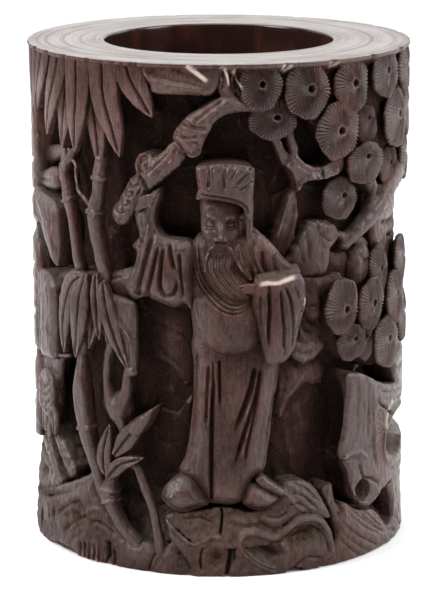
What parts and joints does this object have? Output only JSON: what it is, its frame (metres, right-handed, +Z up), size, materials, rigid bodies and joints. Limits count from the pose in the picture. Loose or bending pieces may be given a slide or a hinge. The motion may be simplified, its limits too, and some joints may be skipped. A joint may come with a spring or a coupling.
{
  "type": "carved brush pot",
  "caption": "Cylindrical dark hardwood brush pot, wall carved in deep relief with bamboo, pine, rocks and a standing scholar, closed by an inset base disc.",
  "frame": {"origin": "centre of the foot, on the resting plane", "axes": "+Z up along the bore; the carved scholar faces -Y; +X is to the right of someone who faces the scholar"},
  "size_m": [0.122, 0.122, 0.16],
  "materials": {
    "carved_wood": "waxed dark purplish-brown hardwood, satin on the raised carving, dull and dusty in the recesses",
    "plug_wood": "plain turned hardwood, satin"
  },
  "bodies": {
    "root": {"carved_wall": "carved_wood", "base_plug": "plug_wood"}
  },
  "joints": []
}
